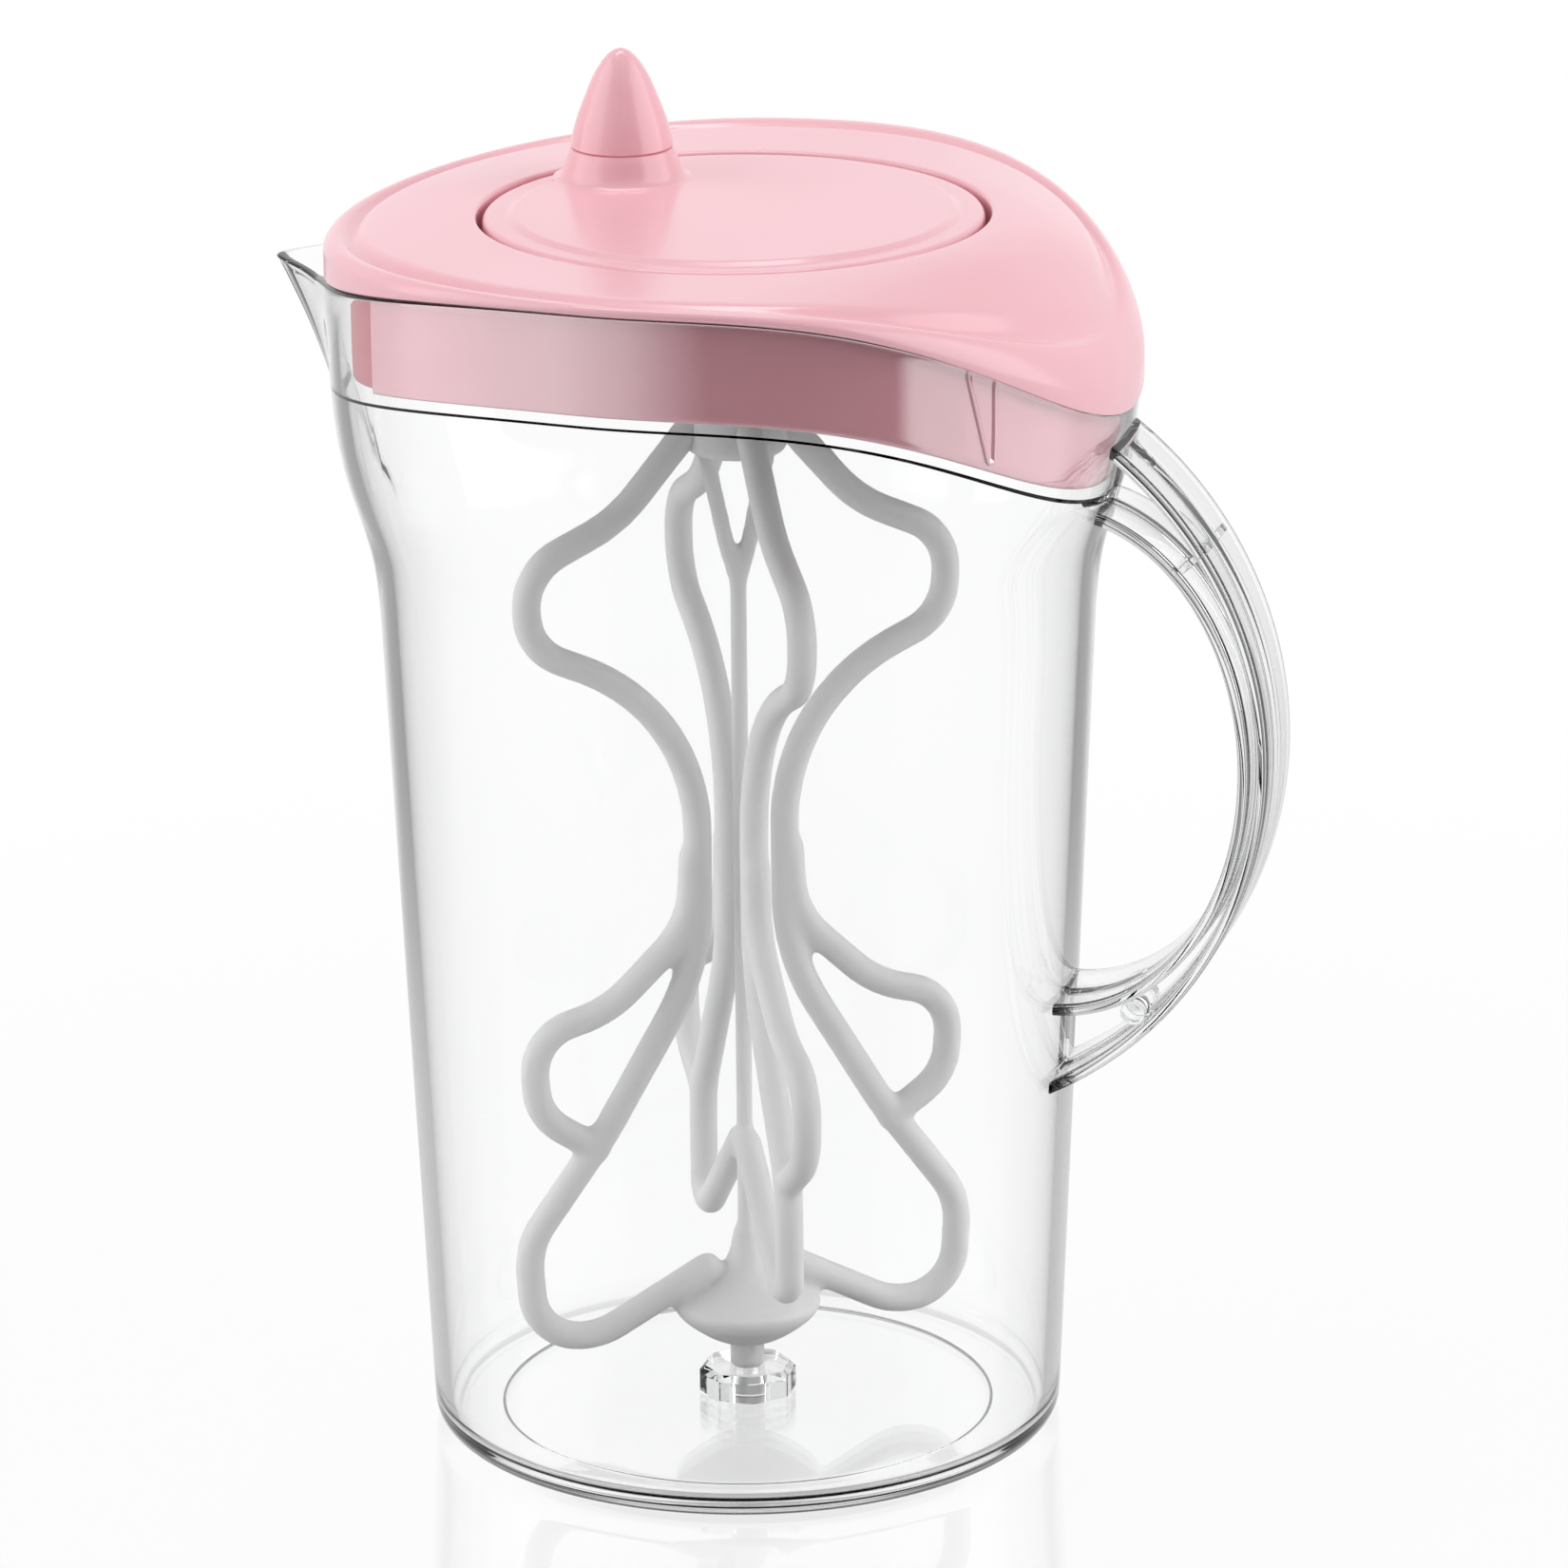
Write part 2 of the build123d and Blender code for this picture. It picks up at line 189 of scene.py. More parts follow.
# Stirrer
hub_bottom = 12.2
hub_foot_radius = 3.6
hub_radius = 12.7
hub_bowl_height = 6.6
hub_bowl_share = 0.74
hub_bowl_rise = 2.9
hub_rim = 0.9
hub_neck_round = 1.6
hub_height = 12.6
hub_neck_radius = 4.2
sleeve_radius = 2.25
sleeve_height = 7.5
shaft_radius = 1.5
head_bottom = 169.0
fork_low = 146.5
fork_start = 6.0
fork_spread = 5.6
fork_bend = 18.0
fork_sink = 1.0
rod_radius = 2.5
blade_turn = math.radians(31.5)
blade_out = 0.987
blade_up = 0.994
blade_upper = [
    (6.5, 164.3, 0), (21.0, 147.4, 24.0), (37.4, 140.0, 9.5), (36.2, 126.6, 9.5),
    (7.6, 113.8, 34.0), (7.8, 68.5, 40.0),
]
blade_long_end = [
    (24.6, 40.3, 45.0), (38.6, 21.3, 13.0), (37.6, 3.4, 9.0), (25.5, 4.0, 12.0), (7.0, 13.8, 0),
]
blade_short_end = [(26.0, 36.8, 20.0), (26.0, 13.3, 3.0), (1.6, 36.0, 0)]
blade_loop = [
    (8.6, 87.8, 0), (9.2, 75.8, 16.0), (24.0, 61.6, 20.0), (37.3, 58.8, 8.5),
    (36.4, 44.3, 10.0), (26.3, 37.4, 0),
]
rod_voxel = 0.62
rod_smoothing = 12

# Camera, as the photograph was taken
camera_azimuth = math.radians(15.0)
camera_elevation = math.radians(17.654)
camera_roll = math.radians(-0.593)
camera_distance = 1400.0
camera_lens = 192.15
camera_aim = (7.257, 110.85)

# Surfaces: the mottle in waves per metre, the grain's height in metres, the power of the clear
# wall's painted edge shade, and the share of a lamp's light that the wall stops
mottle_scale = 45.0
grain_height = 0.0002
edge_power = 7.0
shadow_share = 0.07

# Stage ramps, each a start, a stop and the values there: the ceiling over the sine of the
# elevation, the matt light over the level, the floor over metres from the axis
ceiling_ramp = (0.35, 0.7, 0.0, 1.0)
ceiling_level = 0.7
matt_ramp = (0.0, 1.0, 0.06, 0.48)
floor_glow = (0.1, 0.45, 0.93, 1.0)
floor_far = (0.12, 0.4, 0.0, 1.0)
floor_gloss = (0.1, 0.3, 0.16, 0.0)
floor_level = 0.9
floor_half_m = 6.0
floor_drop = 0.02
lamp_aim_m = 0.11

# Studio: grey level at each compass direction, in degrees to the right of the camera, and the
# power that deepens it inside the clear wall
wall_contrast = 6.0
studio_levels = [
    (-180, 1.0), (-164, 1.0), (-152, 0.8), (-112, 0.8), (-102, 0.95), (-50, 1.0), (-30, 0.7),
    (-8, 0.06), (45, 0.05), (50, 0.9), (102, 0.95), (112, 0.8), (152, 0.8), (164, 1.0),
    (180, 1.0),
]


def between(first, last, share):
    """a value at a share of the way from the first to the last"""
    return first + (last - first) * share


def unit(v):
    """a vector at length 1"""
    return np.asarray(v, float) / np.linalg.norm(v)


def smooth_path(knots, start, end, count):
    """Cubic curve through the knots that leaves and arrives along two given directions. Its slopes
    at the knots solve the equations that keep its bend continuous over the chord lengths."""
    knots = np.array(knots, float)
    step = np.linalg.norm(np.diff(knots, axis=0), axis=1)
    at_knot = np.concatenate([[0.0], np.cumsum(step)])
    last = len(knots) - 1
    system = np.eye(len(knots))
    right = np.zeros(knots.shape)
    right[0], right[last] = unit(start), unit(end)
    for i in range(1, last):
        a, b = step[i - 1], step[i]
        system[i, i - 1:i + 2] = b, 2 * (a + b), a
        right[i] = 3 * (b / a * (knots[i] - knots[i - 1]) + a / b * (knots[i + 1] - knots[i]))
    slope = np.linalg.solve(system, right)
    at = np.linspace(0, at_knot[-1], count)
    k = np.clip(np.searchsorted(at_knot, at, side="right") - 1, 0, last - 1)
    h = step[k][:, None]
    u = ((at - at_knot[k]) / step[k])[:, None]
    return (knots[k] * (1 + 2 * u) * (1 - u) ** 2 + slope[k] * h * u * (1 - u) ** 2
            + knots[k + 1] * u * u * (3 - 2 * u) + slope[k + 1] * h * u * u * (u - 1))


def rounded(corners, arc):
    """Straight runs with round corners: a corner (a, b, radius) becomes an arc of that radius that
    touches both runs, swept at an even rate between its two touching points."""
    points = np.array([c[:2] for c in corners], float)
    path = [points[:1]]
    for before, here, after, corner in zip(points, points[1:], points[2:], corners[1:-1]):
        if corner[2] == 0:
            path.append(here[None])
            continue
        one, two = unit(before - here), unit(after - here)
        half = math.acos(one @ two) / 2
        centre = here + unit(one + two) * corner[2] / math.sin(half)
        reach = corner[2] / math.tan(half)
        first, last = here + one * reach - centre, here + two * reach - centre
        turn = math.pi - 2 * half
        u = np.linspace(0, turn, arc)[:, None]
        path.append(centre + (np.sin(turn - u) * first + np.sin(u) * last) / math.sin(turn))
    path.append(points[-1:])
    return np.concatenate(path)


def even(path, spacing):
    """the same path with its points at even steps along its length"""
    run = np.concatenate([[0.0], np.cumsum(np.linalg.norm(np.diff(path, axis=0), axis=1))])
    at = np.linspace(0, run[-1], max(int(run[-1] / spacing), 2) + 1)
    return np.stack([np.interp(at, run, path[:, i]) for i in range(path.shape[1])], 1)


def skin(grid, close_rows=False, close_columns=True):
    """Points and four-cornered faces of a grid of points. A closed direction joins its last line
    to its first."""
    rows, columns = grid.shape[:2]
    i = np.arange(rows if close_rows else rows - 1)[:, None]
    j = np.arange(columns if close_columns else columns - 1)[None, :]
    i1, j1 = (i + 1) % rows, (j + 1) % columns
    faces = np.stack([i * columns + j, i * columns + j1, i1 * columns + j1, i1 * columns + j], -1)
    return grid.reshape(-1, 3), faces.reshape(-1, 4)


def capped(grid):
    """the same grid with its first and last rows closed to their own middle points"""
    first, last = (np.broadcast_to(grid[i].mean(0), grid[:1].shape) for i in (0, -1))
    return np.concatenate([first, grid, last])


def quarter_turn(count):
    """what a round edge has left to go, across and up, at even steps of a quarter turn"""
    turn = np.linspace(0, math.pi / 2, count)
    return np.stack([1 - np.cos(turn), 1 - np.sin(turn)], 1)


def full_turn(columns):
    """angles at even steps round an axis"""
    return np.arange(columns) * 2 * math.pi / columns


def around(radius, angle, height):
    """points at a distance from the jug's axis, an angle and a height"""
    return np.stack(np.broadcast_arrays(radius * np.cos(angle), radius * np.sin(angle), height), -1)


def swept(rows, angle):
    """grid of rows over the angles, each row a radius and a height, single or for every angle"""
    radius, height = (np.array([part + 0 * angle for part in parts]) for parts in zip(*rows))
    return around(radius, angle, height)


def wall_rows(angle, face, start, stop, count, skip=1):
    """rows of a wall at even steps between two heights, from the second on unless told"""
    heights = [between(start, stop, u) for u in np.linspace(0, 1, count)[skip:]]
    return [(face(angle, z), z) for z in heights]


def make_piece(name, body, material, replaced, skins, sharp=38.0):
    """Writes closed skins into one mesh, merges what meets, turns its faces outwards and puts it
    on its body in place of its CAD nodes."""
    points = np.concatenate([s[0] for s in skins]) * MM
    start = np.cumsum([0] + [len(s[0]) for s in skins[:-1]])
    faces = np.concatenate([s[1] + first for s, first in zip(skins, start)])
    mesh = bpy.data.meshes.new(name)
    mesh.from_pydata(points.tolist(), [], faces.tolist())
    bm = bmesh.new()
    bm.from_mesh(mesh)
    bmesh.ops.remove_doubles(bm, verts=bm.verts, dist=0.002 * MM)
    bmesh.ops.recalc_face_normals(bm, faces=bm.faces)
    if bm.calc_volume(signed=True) < 0:
        bmesh.ops.reverse_faces(bm, faces=bm.faces)
    bm.to_mesh(mesh)
    bm.free()
    mesh.shade_smooth()
    mesh.set_sharp_from_angle(angle=math.radians(sharp))
    mesh.materials.append(material)
    made = bpy.data.objects.new(name, mesh)
    bpy.context.scene.collection.objects.link(made)
    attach(made, body)
    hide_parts(*replaced)
    return made


def revolved(profile, columns, centre=(0, 0)):
    """Surface of revolution: every profile point (radius, height) goes round an upright axis."""
    turned = around(profile[:, 0, None], full_turn(columns), profile[:, 1, None])
    return turned + (centre[0], centre[1], 0)


def tube(path, radius, turn):
    """Round rod with half-round ends. The path (outwards, up) lies in the upright plane at an
    angle; at each point a circle stands square to the path, and at the ends it shrinks to zero as
    the cosine while it moves on as the sine."""
    along = np.gradient(path, axis=0)
    along /= np.linalg.norm(along, axis=1)[:, None]
    cap = np.linspace(math.pi / 2, 0, 6)[:-1]
    size = np.concatenate([np.cos(cap), np.ones(len(path)), np.cos(cap[::-1])]) * radius
    push = np.concatenate([-np.sin(cap), np.zeros(len(path)), np.sin(cap[::-1])]) * radius
    index = np.concatenate([np.zeros(len(cap), int), np.arange(len(path)),
                            np.full(len(cap), len(path) - 1)])
    way = along[index]
    middle = path[index] + way * push[:, None]
    angle = full_turn(20)
    inwards, sideways = size[:, None] * np.cos(angle), size[:, None] * np.sin(angle)
    out = middle[:, 0, None] - way[:, 1, None] * inwards
    up = middle[:, 1, None] + way[:, 0, None] * inwards
    return np.stack([out * math.cos(turn) - sideways * math.sin(turn),
                     out * math.sin(turn) + sideways * math.cos(turn), up], -1)


# Shapes that several pieces share


def crest_share(x):
    """distance from the crest as a share of the way to the lid's edge"""
    way = np.where(x > crest_x, lid_radius - crest_x, lid_radius + crest_x)
    return np.minimum(np.abs(x - crest_x) / way, 1.0)


def wave(x):
    """Height of the wave over x: the crest less a power of the share on either side."""
    share = crest_share(x)
    fall = np.where(x > crest_x, handle_fall * share ** handle_power,
                    spout_fall * share ** spout_power)
    return crest_height - fall


def brim_top(x):
    """Height of the lid's outer edge over x: the wave and an edge that thickens to both ends."""
    share = crest_share(x)
    growth = np.where(x > crest_x, share ** handle_brim_power, share ** spout_brim_power)
    return wave(x) + brim_edge + brim_growth * growth


flare = smooth_path(
    [(shoulder_radius, shoulder_height), (flare_radius, flare_height),
     (throat_radius, throat_height), (collar_radius, collar_height)],
    (shoulder_radius - foot_radius, shoulder_height), (0, 1), 80)


def wall_radius(z):
    """Outer radius of the jug without its spout: straight to the shoulder, then the flare."""
    straight = between(foot_radius, shoulder_radius, z / shoulder_height)
    return np.where(z < shoulder_height, straight, np.interp(z, flare[:, 1], flare[:, 0]))


def smooth_max(a, b, width):
    """the larger of two values, with a round change-over as wide as given"""
    near = np.maximum(width - np.abs(a - b), 0) / width
    return np.maximum(a, b) + near * near * width / 4


def spout_radius(angle, z, inset):
    """Distance from the axis to the spout's wall. At each height the spout is a wedge with a round
    nose: its tip and half width are parabolas over the height, and the wedge's side is the straight
    line r = tip / (cos a + slope |sin a|), with |sin a| rounded off at the nose. Below its root it
    draws back into the wall with the square of the depth."""
    below = np.maximum(crest_height - z - spout_fade_drop, 0) ** 2 / spout_fade_length
    drop = np.minimum(crest_height - z, spout_drops[0])
    half = np.maximum(np.polyval(np.polyfit(spout_drops, spout_halves, 2), drop), 1.0)
    reach = np.polyval(np.polyfit(spout_drops, spout_reaches, 2), drop)
    side = np.arctan2(half, np.maximum(collar_radius + reach - spout_back, 0.5))
    tip = collar_radius + reach - inset / np.sin(side)
    half = half - inset
    slope = np.maximum(tip - spout_back, 0.1) / np.maximum(half, 0.5)
    nose = spout_nose * np.clip(half / spout_halves[-1], 0.05, 1) * (1 / np.sin(side) - 1)
    soft = (tip / np.maximum(tip - nose, 1.0) - 1) / slope
    turn = np.abs((angle % (2 * math.pi)) - math.pi)
    close = np.cos(turn) + slope * np.sqrt(np.sin(turn) ** 2 + soft ** 2)
    return np.where(turn < spout_view, tip / np.maximum(close, 0.2), 0) - below


def root_blend(z):
    """width of the round change-over from wall to spout, wider towards the spout's root"""
    low = np.clip((crest_height - z - spout_drops[1] / 2) / spout_drops[1], 0, 1)
    return between(spout_blend, root_blend_width, low)


def outside_radius(angle, z):
    """outer radius of the jug with its spout"""
    return smooth_max(wall_radius(z), spout_radius(angle, z, 0), root_blend(z))


def inside_radius(angle, z, thickness):
    """Inner radius of the jug with its spout's trough, for a wall thickness. The trough's own wall
    grows evenly from the collar's thickness to the jug's towards the spout's root."""
    low = np.clip((trough_thin - z) / (trough_thin - trough_thick), 0, 1)
    spout = spout_radius(angle, z, between(collar_wall, wall, low))
    return smooth_max(wall_radius(z) - thickness, spout, root_blend(z))


def bore_radius(angle, z):
    """inner radius above the ledge"""
    return inside_radius(angle, z, collar_wall)


def inner_radius(angle, z):
    """inner radius below the ledge"""
    return inside_radius(angle, z, wall)


def on_wave(angle, radius_at, drop):
    """height at which a wall of a given radius meets the wave moved down by a drop"""
    z = np.full(angle.shape, crest_height - drop)
    for _ in range(12):
        z = (z + wave(radius_at(angle, z) * np.cos(angle)) - drop) / 2
    return z


# Finishes


def feed(tree, node, inputs):
    """gives a node its inputs, by name or number: each a constant or another node's socket"""
    for key, given in inputs.items():
        if isinstance(given, bpy.types.NodeSocket):
            tree.links.new(given, node.inputs[key])
        else:
            node.inputs[key].default_value = given
    return node


def add_node(tree, kind, inputs, **settings):
    """adds a shader node, with its settings before its inputs"""
    made = tree.nodes.new("ShaderNode" + kind)
    for name, value in settings.items():
        setattr(made, name, value)
    return feed(tree, made, inputs)


def computed(tree, operation, *given):
    """result of a Math node on numbers or sockets"""
    return add_node(tree, "Math", dict(enumerate(given)), operation=operation).outputs["Value"]


def ramp_value(tree, value, start, stop, low, high):
    """a value carried softly from one range to another, and held outside it"""
    inputs = {"Value": value, "From Min": start, "From Max": stop, "To Min": low, "To Max": high}
    return add_node(tree, "MapRange", inputs, interpolation_type="SMOOTHSTEP").outputs["Result"]


def mixed(tree, share, first, second, kind="FLOAT"):
    """first at share 0 and second at share 1, each a number, a colour or a socket"""
    inputs = {"Factor": share, "A": first, "B": second}
    return add_node(tree, "Mix", inputs, data_type=kind).outputs["Result"]


def finish_group():
    """Node group for moulded plastic: a coarse noise shifts the roughness between two values and
    marks a mottle, and a fine noise gives the grain that the moulding tool leaves."""
    group = bpy.data.node_groups.new("moulded_finish", "ShaderNodeTree")
    for name in ("Polished", "Dull", "Grain Size", "Grain Depth"):
        group.interface.new_socket(name, in_out="INPUT", socket_type="NodeSocketFloat")
    for name, kind in (("Roughness", "Float"), ("Mottle", "Float"), ("Normal", "Vector")):
        group.interface.new_socket(name, in_out="OUTPUT", socket_type="NodeSocket" + kind)
    given, out = group.nodes.new("NodeGroupInput").outputs, group.nodes.new("NodeGroupOutput")
    place = add_node(group, "TexCoord", {}).outputs["Object"]
    coarse = add_node(group, "TexNoise", {"Vector": place, "Scale": mottle_scale, "Detail": 1.0})
    fine = add_node(group, "TexNoise", {"Vector": place, "Scale": given["Grain Size"],
                                        "Detail": 2.0})
    mottle = ramp_value(group, coarse.outputs["Fac"], 0.2, 0.8, 0.0, 1.0)
    grain = add_node(group, "Bump", {"Distance": grain_height, "Strength": given["Grain Depth"],
                                     "Height": fine.outputs["Fac"]})
    feed(group, out, {"Roughness": mixed(group, mottle, given["Polished"], given["Dull"]),
                      "Mottle": mottle, "Normal": grain.outputs["Normal"]})
    return group


moulded_finish = finish_group()


def plastic(name, colour, mottled, polished, dull, grain_size, grain_depth):
    """Moulded plastic: two close colours mixed by the mottle, with the group's gloss and grain."""
    made = bpy.data.materials.new(name)
    made.use_nodes = True
    tree = made.node_tree
    finish = add_node(tree, "Group", {
        "Polished": polished, "Dull": dull, "Grain Size": grain_size,
        "Grain Depth": grain_depth}, node_tree=moulded_finish).outputs
    tint = mixed(tree, finish["Mottle"], (*colour, 1), (*mottled, 1), "RGBA")
    shader = feed(tree, tree.nodes["Principled BSDF"], {
        "Base Color": tint, "Roughness": finish["Roughness"], "Normal": finish["Normal"]})
    return made, tree, shader


def recoloured(tree, shader, share, colour):
    """a shader's base colour with another colour mixed over it by a share"""
    return mixed(tree, share, shader.inputs["Base Color"].links[0].from_socket, colour, "RGBA")


def linear(red, green, blue):
    """a screen colour, 0 to 255, as the linear numbers that a shader takes"""
    screen = np.array([red, green, blue]) / 255
    return tuple(np.where(screen < 0.04045, screen / 12.92, ((screen + 0.055) / 1.055) ** 2.4))


def pink_plastic(name, colour, mottled, polished, coat, coat_ior=1.5):
    """Pastel pink with a thin glossy skin over it. The light that it passes on inside the clear
    wall is partly greyed, so that the stirrer stays white."""
    made, tree, shader = plastic(name, colour, mottled, polished, dull=polished + 0.04,
                                 grain_size=700.0, grain_depth=0.004)
    path = add_node(tree, "LightPath", {}).outputs
    passed = computed(tree, "MINIMUM", path["Is Diffuse Ray"], path["Transmission Depth"])
    feed(tree, shader, {
        "Base Color": recoloured(tree, shader, passed, (0.5, 0.5, 0.5, 1)), "Coat Weight": coat,
        "Coat Roughness": polished / 3, "Coat IOR": coat_ior, "IOR": 1.5})
    return made


def frosted_plastic():
    """frosted, translucent white of the stirrer"""
    made, tree, shader = plastic("frosted_plastic", (0.79, 0.79, 0.79), (0.82, 0.82, 0.82),
                                 polished=0.6, dull=0.7, grain_size=900.0, grain_depth=0.03)
    feed(tree, shader, {"Subsurface Weight": 0.5, "Subsurface Radius": (1.0, 1.0, 1.0),
                        "Subsurface Scale": 0.0025, "IOR": 1.35})
    return made


def white_plastic():
    """natural white of the hidden drive"""
    return plastic("white_plastic", (0.78, 0.78, 0.77), (0.74, 0.74, 0.73),
                   polished=0.3, dull=0.4, grain_size=1500.0, grain_depth=0.08)[0]


def clear_plastic(name, painted_edge_grey, density):
    """Clear moulding: full transmission, a painted grey shade that deepens where the surface turns
    away, standing in for the dark edges that reflected surroundings give, and absorption inside.
    Lamps shine through it, so it throws only a faint shadow."""
    made, tree, shader = plastic(name, (1.0, 1.0, 1.0), (0.996, 0.998, 1.0),
                                 polished=0.0, dull=0.01, grain_size=220.0, grain_depth=0.003)
    # painted shade: the base colour greys towards grazing angles
    turned = add_node(tree, "LayerWeight", {"Blend": 0.5}).outputs["Facing"]
    steep = computed(tree, "POWER", turned, edge_power)
    edge = (painted_edge_grey, painted_edge_grey, painted_edge_grey * 1.01, 1)
    shadow_ray = add_node(tree, "LightPath", {}).outputs["Is Shadow Ray"]
    feed(tree, shader, {
        "Base Color": recoloured(tree, shader, steep, edge), "Transmission Weight": 1.0,
        "IOR": 1.5, "Specular Tint": (0.2, 0.2, 0.2, 1),
        "Alpha": computed(tree, "MULTIPLY_ADD", shadow_ray, shadow_share - 1, 1.0)})
    depth = add_node(tree, "VolumeAbsorption", {"Color": (0.4, 0.42, 0.43, 1), "Density": density})
    feed(tree, tree.nodes["Material Output"], {"Volume": depth.outputs["Volume"]})
    return made


pink = pink_plastic("pink_plastic", linear(251, 193, 203), linear(250, 191, 201), 0.2, 0.15)
# Painted shade: the skirt and its catch take a deeper pink than the lid's own plastic, under a
# strong glossy coat
skirt_painted_shade_pink = pink_plastic("polished_pink_plastic", linear(250, 178, 190),
                             linear(249, 176, 188), 0.12, 1.0, 3.4)
# Painted shade: the set-back spout guard takes a deeper, duller pink for the shadow it stands in
guard_painted_shade_pink = pink_plastic("shaded_pink_plastic", linear(222, 134, 144), linear(220, 132, 142),
                           0.4, 0.0)
frosted = frosted_plastic()
white = white_plastic()
# both clear finishes carry the painted edge shade at a grey of 0.25
clear = clear_plastic("clear_plastic", 0.25, 5.0)
clear_thick = clear_plastic("clear_thick_plastic", 0.25, 8.0)


# Jug


def jug_columns():
    """angles round the jug, closer together over the spout and closest at its nose"""
    half = np.radians(np.concatenate([
        np.arange(0, 6, 0.2), np.arange(6, 44, 0.5), np.arange(44, 180, 1.25), [180.0]]))
    return math.pi + np.concatenate([-half[:0:-1], half[:-1]])


def jug_rows(angle):
    """Rows (radius, height) over the angles, from the middle of the base round the foot, up the
    outer wall, over the rim, down the bore to the ledge and down the inner wall to the floor."""
    foot_edge = wall_radius(0.0)
    rows = list(rounded([
        (0, base_recess, 0), (recess_radius - flat_margin, base_recess, 0),
        (recess_radius, base_recess, edge_round), (recess_radius, 0, edge_round),
        (recess_radius + flat_margin, 0, 0), (foot_edge - foot_round - flat_margin, 0, 0),
        (foot_edge, 0, foot_round), (wall_radius(foot_round * 2), foot_round * 2, 0)], 9))
    rim = on_wave(angle, outside_radius, seat_gap)
    rows += wall_rows(angle, outside_radius, foot_round * 2, shoulder_height, 14)
    rows += wall_rows(angle, outside_radius, shoulder_height, rim - rim_round, 64)
    top_out = outside_radius(angle, rim)
    top_in = bore_radius(angle, rim)
    for face, inset, bend in ((top_out, -rim_round, quarter_turn(5)[1:]),
                              (top_in, rim_round, quarter_turn(5)[::-1])):
        for across, up in bend:
            r = face + inset * across
            rows.append((r, wave(r * np.cos(angle)) - seat_gap - rim_round * up))
    inner_rim = wave(top_in * np.cos(angle)) - seat_gap - rim_round
    ledge = on_wave(angle, bore_radius, ledge_depth)
    rows += wall_rows(angle, bore_radius, inner_rim, ledge + edge_round, 26)
    step_out, step_in = bore_radius(angle, ledge), inner_radius(angle, ledge)
    soft = np.minimum(edge_round, (step_out - step_in) / 2)
    rows += [(step_out - soft, ledge), (step_in + soft, ledge)]
    low = floor_thickness + 2 * floor_round
    rows += wall_rows(angle, inner_radius, ledge - edge_round, shoulder_height, 30, skip=0)
    rows += wall_rows(angle, inner_radius, shoulder_height, low, 14)
    inner_low, inner_floor = wall_radius(low) - wall, wall_radius(floor_thickness) - wall
    rows.extend(rounded([(inner_low, low, 0), (inner_floor, floor_thickness, floor_round),
                         (inner_floor - floor_round - flat_margin, floor_thickness, 0),
                         (0, floor_thickness, 0)], 9)[1:])
    return rows


def make_jug():
    """the clear vessel as one closed skin over its angle and its profile"""
    angle = jug_columns()
    make_piece("clear_jug", "jug", clear, ["jug_shell"],
               [skin(swept(jug_rows(angle), angle))])


def make_floor_socket():
    """Eight-sided clear boss with bevelled top: its radius is the flat's distance divided by the
    cosine of the angle from the middle of the flat."""
    angle = full_turn(160)
    off = np.abs((angle + math.pi / 8) % (math.pi / 4) - math.pi / 8)
    side = socket_flats / 2 / np.cos(off)
    side -= socket_corner * np.clip((off - socket_corner_angle) / socket_corner_spread, 0, 1)
    low, high = floor_thickness + contact_gap, floor_thickness + socket_height
    inner = socket_bevel - bevel_soft
    levels = [(socket_soft, low), (0.0, low + socket_soft), (0.0, high - socket_bevel),
              (bevel_soft, high - inner), (inner, high - bevel_soft), (socket_bevel, high)]
    rows = [(side - inset, z) for inset, z in levels]
    rows += [(socket_bore + out, high - down) for out, down in socket_lead_in]
    rows.append((socket_bore, low))
    make_piece("floor_socket", "jug", clear_thick, ["pin_socket"],
               [skin(swept(rows, angle), close_rows=True)], sharp=25.0)


# Handle


def handle_line(angle, share, depth):
    """Point (x, z) of a fibre along the handle: on a circle inside the outer one by a depth at
    share 0, on the ellipse outside the inner one by a depth at share 1, mixed in between."""
    outer_x = outer_centre[0] + (outer_radius - depth) * np.cos(angle)
    outer_z = outer_centre[1] + (outer_radius - depth) * np.sin(angle)
    inner_x = inner_centre[0] + (inner_half_depth + depth) * np.cos(angle)
    inner_z = inner_centre[1] + (inner_half_height + depth) * np.sin(angle)
    return between(outer_x, inner_x, share), between(outer_z, inner_z, share)


def root_angle(y, share, depth, side):
    """angle at which a fibre meets the jug's wall above or below, found by halving"""
    near, far = np.zeros(y.shape), np.full(y.shape, math.radians(150.0))
    for _ in range(44):
        middle = (near + far) / 2
        x, z = handle_line(side * middle, share, depth)
        clear_of_wall = x > np.sqrt(wall_radius(z) ** 2 - y ** 2) + root_gap
        near = np.where(clear_of_wall, middle, near)
        far = np.where(clear_of_wall, far, middle)
    return side * near


def quarter(y0, y1, d0, d1, first):
    """five points of a quarter ellipse between two corners, along y first or along depth first"""
    across, up = quarter_turn(5).T
    a, b = (1 - up, across) if first == "y" else (across, 1 - up)
    return list(zip(between(y0, y1, a), between(d0, d1, b)))


def handle_half_section():
    """Half outline of the I section, from the middle of the outer face to the middle of the inner
    one, as y, share and depth."""
    edge, half, web = handle_half_width, strap_round, web_thickness / 2
    flange = [(y, 0.0) for y in np.linspace(0, edge - half, 7)]
    flange += quarter(edge - half, edge, 0, half, "y")[1:]
    flange += quarter(edge, edge - half, strap - half, strap, "d")
    flange += [(y, strap) for y in np.linspace(edge - half, web + web_fillet, 6)[1:]]
    flange += quarter(web + web_fillet, web, strap, strap + web_fillet, "y")[1:]
    outer = [(y, 0.0, d) for y, d in flange]
    inner = [(y, 1.0, d) for y, d in reversed(flange)]
    middle = [(web, s, strap + web_fillet) for s in np.linspace(0, 1, 8)[1:-1]]
    return np.array(outer + middle + inner).T


